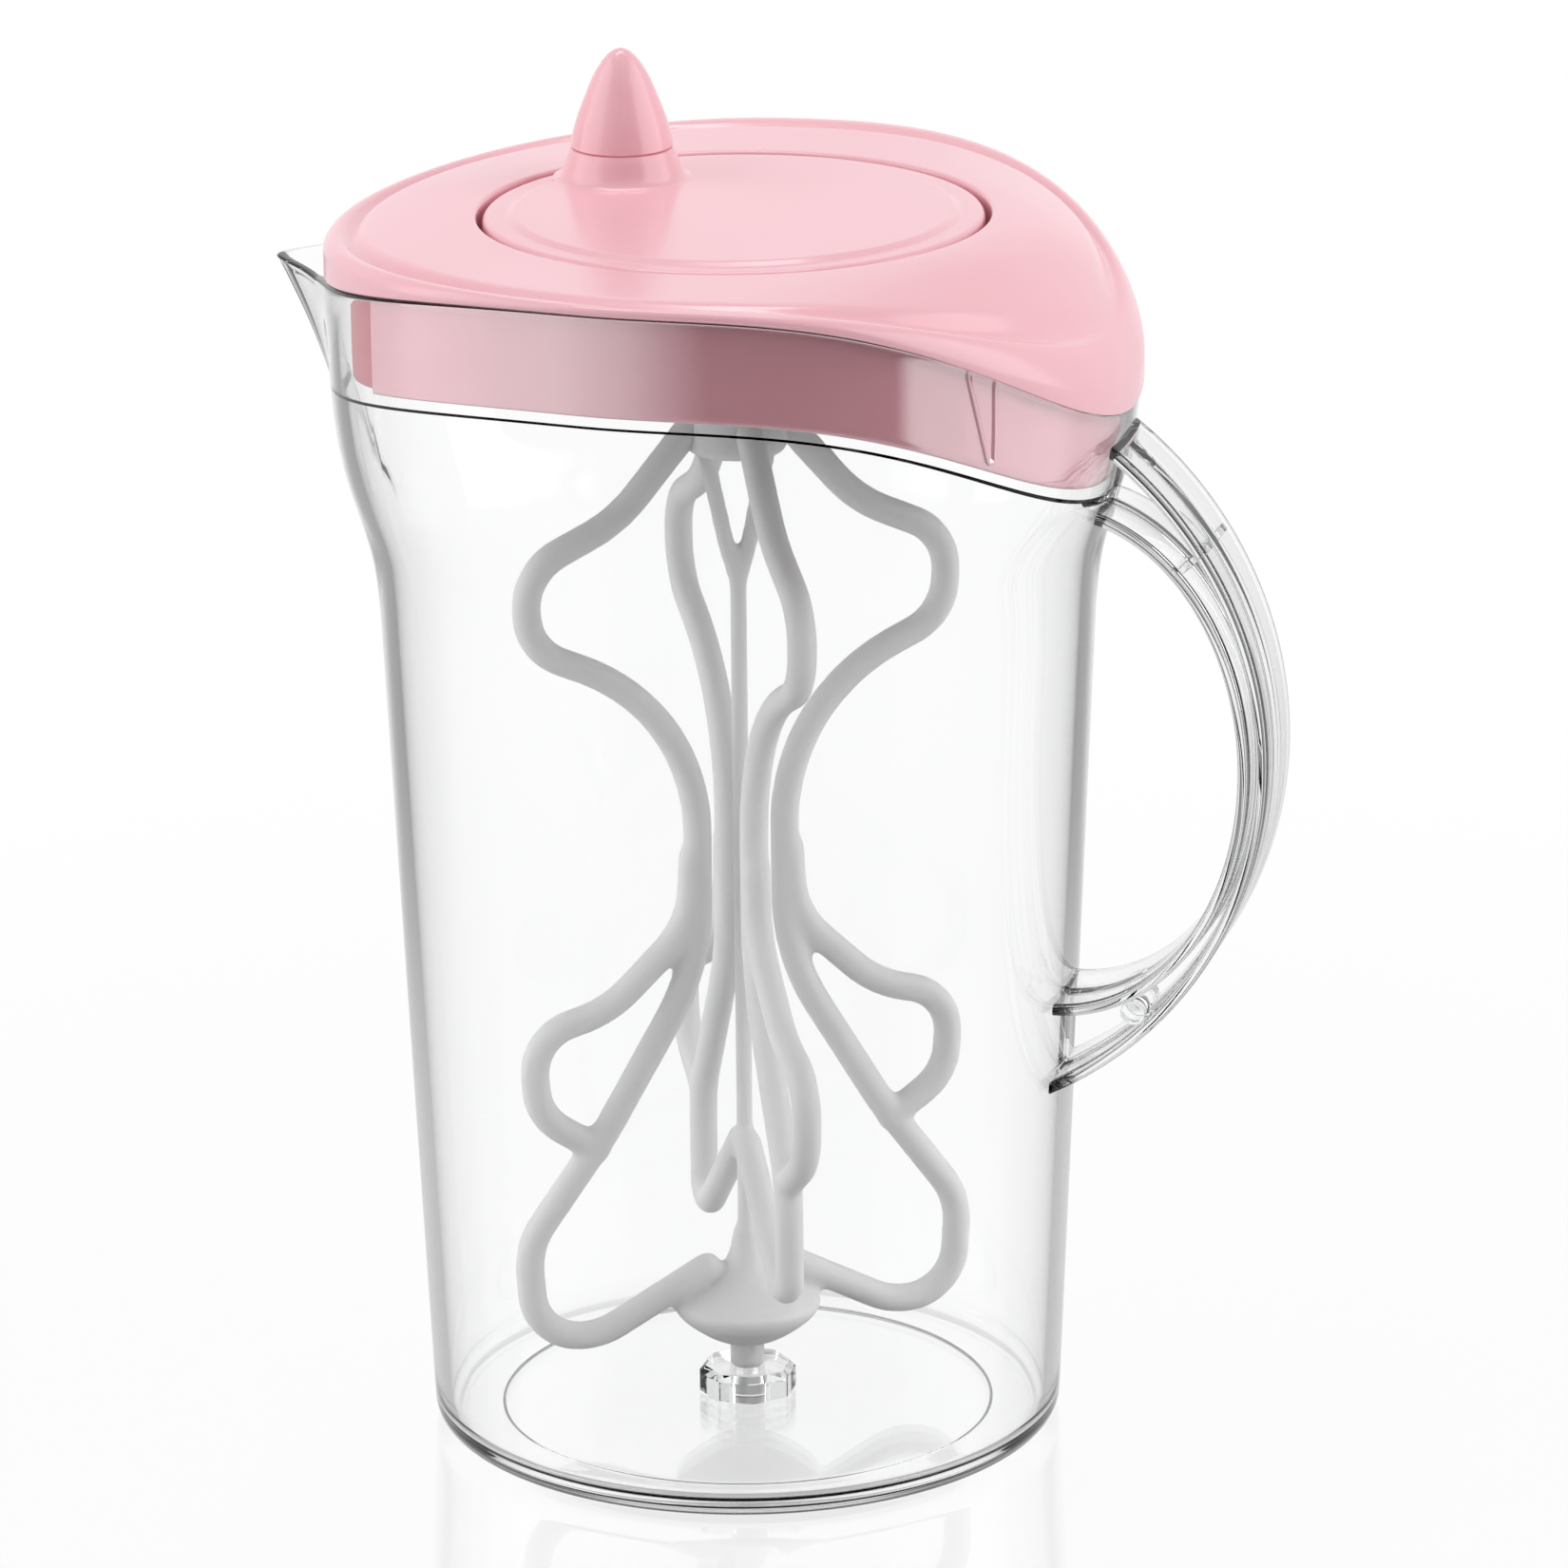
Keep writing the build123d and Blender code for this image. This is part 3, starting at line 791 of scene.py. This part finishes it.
def make_handle():
    """The handle as one clear I-section moulding: every fibre of its outline runs from the wall
    below to the wall above, and the two ends are closed by rungs from side to side."""
    y, share, depth = handle_half_section()
    low, high = (root_angle(y, share, depth, side) for side in (-1, 1))
    angle = between(low, high, np.linspace(0, 1, 150)[:, None])
    x, z = handle_line(angle, share, depth)
    right = np.stack([x, y + 0 * x, z], -1)
    left = right * (1, -1, 1)
    grid = np.concatenate([right, left[:, -2:0:-1]], 1)
    ends = [skin(np.stack([right[i], left[i]], 1), close_columns=False) for i in (0, -1)]
    make_piece("handle_moulding", "jug", clear_thick,
               ["handle_outer_strap", "handle_inner_strap", "handle_web"], [skin(grid)] + ends)


def rounded_box(half_x, half_y, half_z, power):
    """Box with soft edges as a superquadric: each coordinate is its half size times the powers
    2 / power of the sines and cosines over latitude and longitude."""
    lat = np.linspace(-math.pi / 2, math.pi / 2, 25)[:, None]
    lon = full_turn(48)

    def soft(v):
        return np.sign(v) * np.abs(v) ** (2 / power)

    return np.stack([half_x * soft(np.cos(lat)) * soft(np.cos(lon)),
                     half_y * soft(np.cos(lat)) * soft(np.sin(lon)),
                     half_z * soft(np.sin(lat)) * np.ones_like(lon)], -1)


def make_ribs():
    """the cross rib on either side of the web, from strap to strap, and the round pegs"""
    spare = 0.08
    outer = np.array(handle_line(rib_place, 0.0, strap + spare))
    slant = np.array([math.cos(rib_tilt), math.sin(rib_tilt)])
    reach = np.linspace(0.5, 40, 400)
    line = outer[:, None] - slant[:, None] * reach
    inner_depth = np.hypot((line[0] - inner_centre[0]) / (inner_half_depth + strap + spare),
                           (line[1] - inner_centre[1]) / (inner_half_height + strap + spare))
    length = reach[np.argmax(inner_depth < 1)]
    low, high = web_thickness / 2 + spare, handle_half_width - rib_inset
    skins = []
    for side in (-1, 1):
        box = rounded_box(length / 2, (high - low) / 2, rib_thickness / 2, power=12.0)
        along, across, up = box[..., 0], box[..., 1], box[..., 2]
        x = outer[0] - slant[0] * (length / 2 + along) - slant[1] * up
        z = outer[1] - slant[1] * (length / 2 + along) + slant[0] * up
        skins.append(skin(np.stack([x, side * ((low + high) / 2 + across), z], -1)))
    make_piece("handle_cross_ribs", "jug", clear_thick, ["handle_ribs"], skins)

    x, z = handle_line(peg_place, 0.0, peg_depth)
    profile = rounded([(0, low, 0), (peg_radius, low, 0.15), (peg_radius, peg_reach, 0.5),
                       (0, peg_reach, 0)], 6)
    peg = revolved(profile, 48)[..., (0, 2, 1)]
    skins = [skin(peg * (1, side, 1) + (x, 0, z)) for side in (-1, 1)]
    make_piece("handle_round_pegs", "jug", clear_thick, ["handle_pegs"], skins)


# Lid


def handle_share(edge_x):
    """How far round to the handle a place on the lid's edge is: the cube of the crest share, so
    that it starts softly, and 0 on the spout's side."""
    return np.where(edge_x > crest_x, crest_share(edge_x) ** 3, 0)


def lid_surface(radius, angle):
    """Height of the lid's top: the dome falls from the disc to the brim with a power of the way,
    and a soft groove runs round inside the brim's bead."""
    edge_x = lid_radius * np.cos(angle)
    way = np.clip((radius - seat_radius) / (lid_radius - seat_radius), 0, 1)
    dome = disc_top - (disc_top - brim_top(edge_x)) * way ** dome_power
    steep = handle_share(edge_x)
    inset = between(groove_inset, handle_groove_inset, steep)
    spread = between(groove_spread, handle_groove_spread, steep)
    thick = brim_top(edge_x) - wave(edge_x)
    depth = np.minimum(groove_depth * (1 + steep / 2), groove_share * thick)
    groove = depth * np.exp(-((radius - lid_radius + inset) / spread) ** 2)
    return dome - groove


def lid_rows(angle):
    """Rows of the cover's section, from the top edge of the disc's hole out over the dome, round
    the bead, under the brim and back along the underside."""
    edge_x = lid_radius * np.cos(angle)
    thick = brim_top(edge_x) - wave(edge_x)
    bead = between(bead_round, handle_bead_round, handle_share(edge_x))
    bead = np.minimum(bead, bead_share * thick)
    rows = [(seat_radius + hole_round * across, disc_top - hole_round * up)
            for across, up in quarter_turn(5)]
    for u in np.linspace(0, 1, 44)[1:]:
        r = between(seat_radius + hole_round, lid_radius - bead, u)
        rows.append((r, lid_surface(r, angle)))
    for across, up in quarter_turn(10)[1:]:
        r = lid_radius - bead * up
        rows.append((r, lid_surface(r, angle) - bead * across))
    for across, up in quarter_turn(5):
        r = lid_radius - brim_bottom_round * across
        z = wave(r * np.cos(angle)) + brim_bottom_round * up
        rows.append((r, np.minimum(z, rows[-1][1] if across else z)))
    rows.append((brim_inner, wave(brim_inner * np.cos(angle))))
    for u in np.linspace(0, 1, 24):
        r = between(brim_inner, seat_radius, u)
        under = lid_surface(r, angle) - cover_wall
        rows.append((r, np.maximum(under, wave(r * np.cos(angle)) + cover_least)))
    return rows


def make_cover():
    """the lid's cover as one closed skin over its angle and its section"""
    angle = full_turn(288)
    make_piece("lid_shell", "lid", pink, ["lid_cover"],
               [skin(swept(lid_rows(angle), angle), close_rows=True)])


def ring_stretch(first, last, setback):
    """Stretch of the skirt between two angles: a thin wall that follows the collar's bore at a
    fixed gap, from the brim down to the wave less the skirt's depth, with a round lower edge."""
    angle = np.radians(np.linspace(first, last, int((last - first) / 1.25) + 1))

    def face(a, z):
        return wall_radius(z) - skirt_radius_gap - setback

    low = on_wave(angle, face, skirt_depth)
    high = on_wave(angle, face, 0.0)
    outer = wall_rows(angle, face, high, low + skirt_round, 14, skip=0)
    inner = [(r - skirt_wall, z) for r, z in outer]
    edge = []
    for turn in np.linspace(0, math.pi, 9)[1:-1]:
        shift = (skirt_wall / 2) * (1 - math.cos(turn))
        edge.append((face(angle, low) - shift, low + skirt_round * (1 - math.sin(turn))))
    return skin(capped(swept(outer + edge + inner[::-1], angle).transpose(1, 0, 2)))


def make_skirt():
    """the ring that enters the collar, and the set-back stretch of it behind the spout"""
    side = 180 - guard_half_angle
    # the ring takes the deeper pink of painted shade
    make_piece("lid_skirt_ring", "lid", skirt_painted_shade_pink, ["lid_skirt"],
               [ring_stretch(-side, side, 0.0)])
    # the guard takes the deeper pink of painted shade
    make_piece("spout_guard", "lid", guard_painted_shade_pink, ["pour_guard"],
               [ring_stretch(side + joint_gap, 360 - side - joint_gap, guard_setback)])


def make_catch():
    """V-shaped tongue on the skirt, upright on its right side and slanted on its left. From its
    edges it rises as a quarter circle, and within the low rim its middle is dished."""
    across = (1 - np.cos(np.linspace(0, math.pi, 45))) / 2
    down = np.linspace(0, 1, 70)[:, None]
    left = between(-catch_left, catch_right - 2 * catch_point, down)
    near_end = np.clip((down - 1) * catch_length / catch_point + 1, 0, 1)
    shrink = catch_point_share * catch_point * (1 - np.sqrt(1 - near_end ** 2))
    left, right = left + shrink, catch_right - shrink
    offset = between(left, right, across)
    turn = catch_angle + offset / lid_radius
    top = wave((lid_radius - skirt_radius_gap) * np.cos(turn)) - seat_gap
    low = wave(lid_radius * math.cos(catch_angle)) - seat_gap - catch_length
    z = between(top, low, down)
    edge = np.minimum(np.minimum(offset - left, right - offset), (1 - down) * catch_length)
    rise = catch_proud * np.sqrt(1 - (1 - np.clip(edge / catch_proud, 0, 1)) ** 2)
    dish = catch_dish * np.clip((edge - catch_rim) / catch_rim, 0, 1)
    face = wall_radius(z) - skirt_radius_gap
    body = np.concatenate([around(face + rise - dish, turn, z),
                           around(face - catch_root, turn, z)[:, ::-1]], 1)
    half = across.size
    ends = [skin(np.stack([body[i, :half], body[i, :half - 1:-1]], 1), close_columns=False)
            for i in (0, -1)]
    # the tongue takes the skirt's deeper pink of painted shade
    make_piece("catch_tongue", "lid", skirt_painted_shade_pink, ["lid_catch"],
               [skin(body)] + ends)


# Crank


def make_disc():
    """turned disc: an outer ring, a soft step and the raised middle"""
    face = disc_top + plateau_rise
    middle, ring = plateau_radius + plateau_edge[0], plateau_radius + plateau_edge[1]
    profile = rounded([
        (0, face, 0), (middle - flat_margin, face, 0), (middle, face, plateau_rounds[0]),
        (ring, disc_top - disc_falls[0], plateau_rounds[1]),
        (disc_radius, disc_top - disc_falls[1], disc_edge_round),
        (disc_radius, disc_top - disc_thickness, disc_bottom_round),
        (0, disc_top - disc_thickness, 0)], 9)
    make_piece("crank_top", "crank", pink, ["crank_disc"],
               [skin(revolved(profile, 240))])


def make_knob():
    """the ogive knob and the flared pedestal that carries it"""
    place = (knob_orbit * math.cos(knob_angle), knob_orbit * math.sin(knob_angle))
    face = disc_top + plateau_rise
    base, top = face + pedestal_height, face + pedestal_height + knob_height
    flank = smooth_path([(pedestal_radius, face), (knob_radius + pedestal_spare, base)],
                        (-1, 0.02), (-0.5, 0.86), 24)
    lower = [(0, face - pedestal_sink), (pedestal_radius, face - pedestal_sink)]
    seam = [(knob_radius - seam_inset, base + seam_rise), (0, base + seam_rise)]
    pedestal = np.concatenate([lower, flank, seam])
    make_piece("knob_foot", "crank", pink, ["knob_pedestal"],
               [skin(revolved(pedestal, 96, place))])
    side = smooth_path([(knob_radius, base + knob_foot_round), (knob_waist[0], top - knob_waist[1]),
                        (knob_crown[0], top - knob_crown[1]), (0, top)], (-0.1, 1), (-1, 0), 60)
    bend = quarter_turn(6)[:0:-1] * (-knob_foot_round, knob_foot_round)
    under = bend + (knob_radius, base + knob_seat)
    knob = np.concatenate([[(0, base + knob_seat)], under, side])
    make_piece("turning_knob", "crank", pink, ["crank_knob"],
               [skin(revolved(knob, 96, place))])


# Stirrer


def blade_line(corners):
    """a blade's centre line in its own upright plane, at even steps"""
    drawn = [(blade_out * r, hub_bottom + blade_up * z, min(blade_out, blade_up) * c)
             for r, z, c in corners]
    return even(rounded(drawn, 14), 1.0)


def hub_skin():
    """shallow bowl with a cone and a sleeve on top, turned about the axis"""
    rim, top = hub_bottom + hub_bowl_height, hub_bottom + hub_height
    bowl = smooth_path([(hub_foot_radius, hub_bottom),
                        (hub_bowl_share * hub_radius, hub_bottom + hub_bowl_rise),
                        (hub_radius, rim)], (1, 0.1), (0.3, 1), 16)
    cone = smooth_path([(hub_radius, rim + hub_rim),
                        (hub_neck_radius + hub_neck_round, top - hub_neck_round),
                        (sleeve_radius, top + sleeve_height)], (-1, 0.5), (-0.05, 1), 20)
    profile = np.concatenate([[(0, hub_bottom)], bowl, cone, [(0, top + sleeve_height)]])
    return skin(revolved(profile, 64))


def make_stirrer():
    """The rods, hub, shaft and fork as one moulding: round rods along planar lines, joined by a
    voxel remesh and softened where they meet."""
    skins = [hub_skin()]
    loop = blade_line(blade_loop)
    for index in range(4):
        end = blade_short_end if index % 2 else blade_long_end
        turn = blade_turn + index * math.pi / 2
        skins.append(skin(tube(blade_line(blade_upper + end), rod_radius, turn)))
        skins.append(skin(tube(loop, rod_radius, turn)))
    shaft = np.array([(0, hub_bottom + hub_height), (0, fork_low + fork_sink)])
    skins.append(skin(tube(even(shaft, 2.0), shaft_radius, 0)))
    fork = rounded([(0, fork_low, 0), (fork_spread / 3, fork_low + fork_start, fork_bend),
                    (fork_spread, head_bottom + fork_sink, 0)], 10)
    for half_turn in (0, math.pi):
        skins.append(skin(tube(even(fork, 1.0), shaft_radius, blade_turn + half_turn)))
    rods = make_piece("stirrer_rods", "stirrer", frosted, [
        "blade_handle_side", "blade_back", "blade_spout_side", "blade_front", "stirrer_hub",
        "centre_shaft", "shaft_fork"], skins)
    join = rods.modifiers.new("join", "REMESH")
    join.mode = "VOXEL"
    join.voxel_size = rod_voxel * MM
    join.use_smooth_shade = True
    soften = rods.modifiers.new("soften", "SMOOTH")
    soften.factor = 0.5
    soften.iterations = rod_smoothing


# Stage, lamps and camera


def camera_axes():
    """the camera's right, up and backward directions, before its roll"""
    a, e = camera_azimuth, camera_elevation
    back = np.array([math.sin(a) * math.cos(e), -math.cos(a) * math.cos(e), math.sin(e)])
    right = np.array([math.cos(a), math.sin(a), 0])
    return right, np.cross(back, right), back


def put(made, right, up, back, place):
    """places a camera or a lamp, in metres, with its right, up and backward directions"""
    matrix = np.eye(4)
    matrix[:3] = np.stack([right, up, back, place], 1)
    made.matrix_world = Matrix(matrix.tolist())
    bpy.context.scene.collection.objects.link(made)


def make_camera():
    """camera at the photograph's angle, aimed at a point on the jug"""
    right, up, back = camera_axes()
    cosine, sine = math.cos(camera_roll), math.sin(camera_roll)
    aim = camera_aim[0] * right + (0, 0, camera_aim[1])
    data = bpy.data.cameras.new("camera")
    data.lens = camera_lens
    data.sensor_width = 36.0
    data.clip_end = 50.0
    made = bpy.data.objects.new("camera", data)
    put(made, cosine * right + sine * up, cosine * up - sine * right, back,
        (aim + back * camera_distance) * MM)
    bpy.context.scene.camera = made


def seen_directly(tree):
    """Mask that is 1 for what the camera sees itself, in a gloss or through the clear wall, and 0
    for light on its way to a matt surface."""
    path = add_node(tree, "LightPath", {}).outputs
    seen = path["Is Camera Ray"]
    for name in ("Is Glossy Ray", "Is Transmission Ray"):
        seen = computed(tree, "MAXIMUM", seen, path[name])
    return computed(tree, "MULTIPLY", seen, computed(tree, "LESS_THAN", path["Diffuse Depth"], 0.5))


def reflected_level(tree, level):
    """White where nothing is reflected, the studio's level in a gloss, and a deeper one where the
    light was turned back inside a clear wall, which it enters and leaves by up to three faces."""
    path = add_node(tree, "LightPath", {}).outputs
    deep = computed(tree, "POWER", level, wall_contrast)
    inside = computed(tree, "COMPARE", path["Transmission Depth"], 2.0, 1.5)
    gloss = computed(tree, "GREATER_THAN", path["Glossy Depth"], 0.5)
    return mixed(tree, gloss, 1.0, mixed(tree, inside, level, deep))


def studio_sides(tree, direction):
    """Grey level of the studio by compass direction: a white backdrop, a white panel on either
    side, and dark gaps between them and behind the camera."""
    right, _, back = camera_axes()
    parts = [add_node(tree, "VectorMath", {0: direction, 1: axis}, operation="DOT_PRODUCT")
             for axis in (right, unit([back[0], back[1], 0]))]
    turn = computed(tree, "ARCTAN2", *(part.outputs["Value"] for part in parts))
    share = computed(tree, "MULTIPLY_ADD", turn, 0.5 / math.pi, 0.5)
    levels = add_node(tree, "ValToRGB", {"Fac": share})
    stops = levels.color_ramp.elements
    for degrees, _ in studio_levels[1:-1]:
        stops.new(0.5 + degrees / 360)
    for stop, (degrees, level) in zip(stops, studio_levels):
        stop.position = 0.5 + degrees / 360
        stop.color = (level, level, level, 1)
    return levels.outputs["Color"]


def make_world():
    """Surroundings that light matt surfaces at a plain pale level, look white behind the clear
    wall, and show the studio's light and dark sides in a gloss."""
    world = bpy.data.worlds.new("studio")
    world.use_nodes = True
    bpy.context.scene.world = world
    tree = world.node_tree
    place = add_node(tree, "TexCoord", {}).outputs["Object"]
    height = add_node(tree, "SeparateXYZ", {0: place}).outputs["Z"]
    ceiling = ramp_value(tree, height, *ceiling_ramp)
    level = mixed(tree, ceiling, studio_sides(tree, place), ceiling_level)
    plain = ramp_value(tree, level, *matt_ramp)
    strength = mixed(tree, seen_directly(tree), plain, reflected_level(tree, level))
    feed(tree, tree.nodes["Background"], {"Color": (1, 1, 1, 1), "Strength": strength})


def make_floor():
    """white table with a faint gloss that keeps the shadow"""
    mesh = bpy.data.meshes.new("floor")
    far = floor_half_m
    mesh.from_pydata([(-far, -far, 0), (far, -far, 0), (far, far, 0), (-far, far, 0)], [],
                     [(0, 1, 2, 3)])
    floor = bpy.data.objects.new("floor", mesh)
    floor.location.z = -floor_drop * MM
    bpy.context.scene.collection.objects.link(floor)
    made = bpy.data.materials.new("floor_white")
    made.use_nodes = True
    mesh.materials.append(made)
    tree = made.node_tree
    tree.nodes.remove(tree.nodes["Principled BSDF"])
    place = add_node(tree, "TexCoord", {}).outputs["Object"]
    away = add_node(tree, "VectorMath", {0: place}, operation="LENGTH").outputs["Value"]
    distant = ramp_value(tree, away, *floor_far)
    level = mixed(tree, distant, floor_level, studio_sides(tree, place))
    matt = add_node(tree, "BsdfDiffuse", {"Color": (0.75, 0.75, 0.75, 1)})
    lit = add_node(tree, "Emission", {"Color": (1, 1, 1, 1),
                                      "Strength": reflected_level(tree, level)})
    gloss = add_node(tree, "BsdfGlossy", {"Color": (1, 1, 1, 1), "Roughness": 0.05})
    share = computed(tree, "MULTIPLY", seen_directly(tree), ramp_value(tree, away, *floor_glow))
    white_part = add_node(tree, "MixShader", {
        "Fac": share, 1: matt.outputs["BSDF"], 2: lit.outputs["Emission"]})
    whole = add_node(tree, "MixShader", {
        "Fac": ramp_value(tree, away, *floor_gloss), 1: white_part.outputs["Shader"],
        2: gloss.outputs["BSDF"]})
    feed(tree, tree.nodes["Material Output"], {"Surface": whole.outputs["Shader"]})


def softbox(name, side, towards, up, width, height, power):
    """large soft lamp, placed from the pitcher's middle sideways, towards the camera and up"""
    right, _, back = camera_axes()
    away = right * side + unit([back[0], back[1], 0]) * towards + (0, 0, up)
    data = bpy.data.lights.new(name, "AREA")
    data.shape = "RECTANGLE"
    data.size, data.size_y = width, height
    data.energy = power
    lamp = bpy.data.objects.new(name, data)
    z = unit(away)
    x = unit(np.cross([0, 0, 1], z))
    lamp.visible_camera = False
    put(lamp, x, np.cross(z, x), z, away + (0, 0, lamp_aim_m))


make_jug()
make_floor_socket()
make_handle()
make_ribs()
make_cover()
make_skirt()
make_catch()
make_disc()
make_knob()
make_stirrer()
kept_nodes = {"crank_well": pink, "drive_spindle": white, "retaining_clip": white,
              "pivot_pin": frosted, "drive_head": frosted}
for name, material in kept_nodes.items():
    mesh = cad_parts[name].data
    mesh.materials.clear()
    mesh.materials.append(material)

make_camera()
make_world()
make_floor()
softbox("left_softbox", side=-1.1, towards=0.2, up=0.4, width=1.25, height=1.5, power=8.5)
softbox("right_softbox", side=1.1, towards=0.25, up=0.35, width=1.25, height=1.5, power=10.2)
softbox("top_softbox", side=-0.1, towards=-0.28, up=1.25, width=0.8, height=0.25, power=4.2)
bpy.context.scene.view_settings.view_transform = "Standard"
